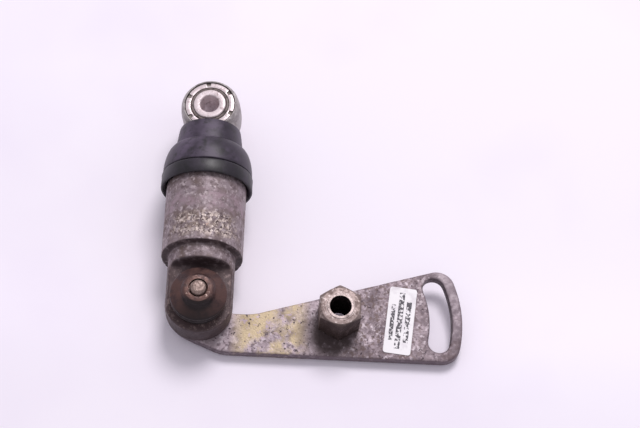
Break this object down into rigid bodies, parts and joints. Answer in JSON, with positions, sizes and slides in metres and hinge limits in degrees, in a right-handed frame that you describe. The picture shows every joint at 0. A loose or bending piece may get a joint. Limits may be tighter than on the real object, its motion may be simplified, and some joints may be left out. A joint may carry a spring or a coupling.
{
  "type": "belt tensioner strut",
  "caption": "Hydraulic belt tensioner strut with a rubber boot and a bushed eye, pivoted on a slotted adjusting lever with a threaded boss.",
  "frame": {"origin": "centre of the bottom of the bounding box, the strut lying on its side", "axes": "+X from the pivot along the lever towards its slot, +Y from the pivot along the damper towards its eye, +Z along the pivot pin towards its cap"},
  "size_m": [0.17, 0.1586, 0.0512],
  "materials": {
    "lever_steel": "forged, weathered, pitted",
    "nut_steel": "weathered, machined face",
    "bright_steel": "turned, bright",
    "spring_steel": "hardened, oiled",
    "rusty_cap_steel": "pressed steel, rusted and oily",
    "cast_aluminium": "cast, grimy",
    "bearing_bronze": "sintered bronze",
    "boot_rubber": "moulded, satin",
    "seal_rubber": "moulded, dull",
    "bush_polymer": "moulded",
    "label_paper": null
  },
  "bodies": {
    "lever": {"lever_plate": "lever_steel", "lever_nut": "nut_steel", "label_sticker": "label_paper", "pivot_pin": "bright_steel", "pivot_thrust_washer": "bearing_bronze", "pivot_disc_spring_lower": "spring_steel", "pivot_disc_spring_upper": "spring_steel", "pivot_seal_ring": "seal_rubber", "pivot_cap": "rusty_cap_steel"},
    "housing": {"damper_housing": "cast_aluminium", "pivot_bush": "bearing_bronze", "pressure_cylinder": "bright_steel", "rod_guide": "bearing_bronze", "rod_seal": "seal_rubber", "guide_snap_ring": "spring_steel", "return_spring": "spring_steel"},
    "boot": {"dust_boot": "boot_rubber", "boot_skirt": "boot_rubber"},
    "plunger": {"upper_eye": "cast_aluminium", "plunger_rod": "bright_steel", "piston": "spring_steel", "valve_cage": "spring_steel", "eye_bush": "bush_polymer", "eye_star_ring_front": "bright_steel", "eye_star_ring_back": "bright_steel", "eye_seal_front": "seal_rubber", "eye_seal_back": "seal_rubber"},
    "sleeve": {"eye_sleeve": "bright_steel"},
    "ball": {"check_ball": "bright_steel"}
  },
  "joints": [
    {"name": "damper_swing", "type": "hinge", "parent": "lever", "child": "housing", "pos_m": [-0.0594, -0.05575, 0.0256], "axis": [0, 0, 1], "range_deg": [-45, 90]},
    {"name": "damper_stroke", "type": "slide", "parent": "housing", "child": "boot", "axis": [0, -1, 0], "range_m": [0, 0.009], "stiffness_N_per_m": 9000, "springref_m": -0.01, "deforming": ["return_spring"]},
    {"name": "eye_swivel", "type": "hinge", "parent": "boot", "child": "plunger", "pos_m": [-0.0594, 0.04425, 0.0256], "axis": [0, 1, 0], "continuous": true},
    {"name": "sleeve_turn", "type": "hinge", "parent": "plunger", "child": "sleeve", "pos_m": [-0.0594, 0.06225, 0.0256], "axis": [-0.0872, 0, 0.9962], "continuous": true},
    {"name": "ball_lift", "type": "slide", "parent": "plunger", "child": "ball", "axis": [0, -1, 0], "range_m": [0, 0.0006]}
  ]
}
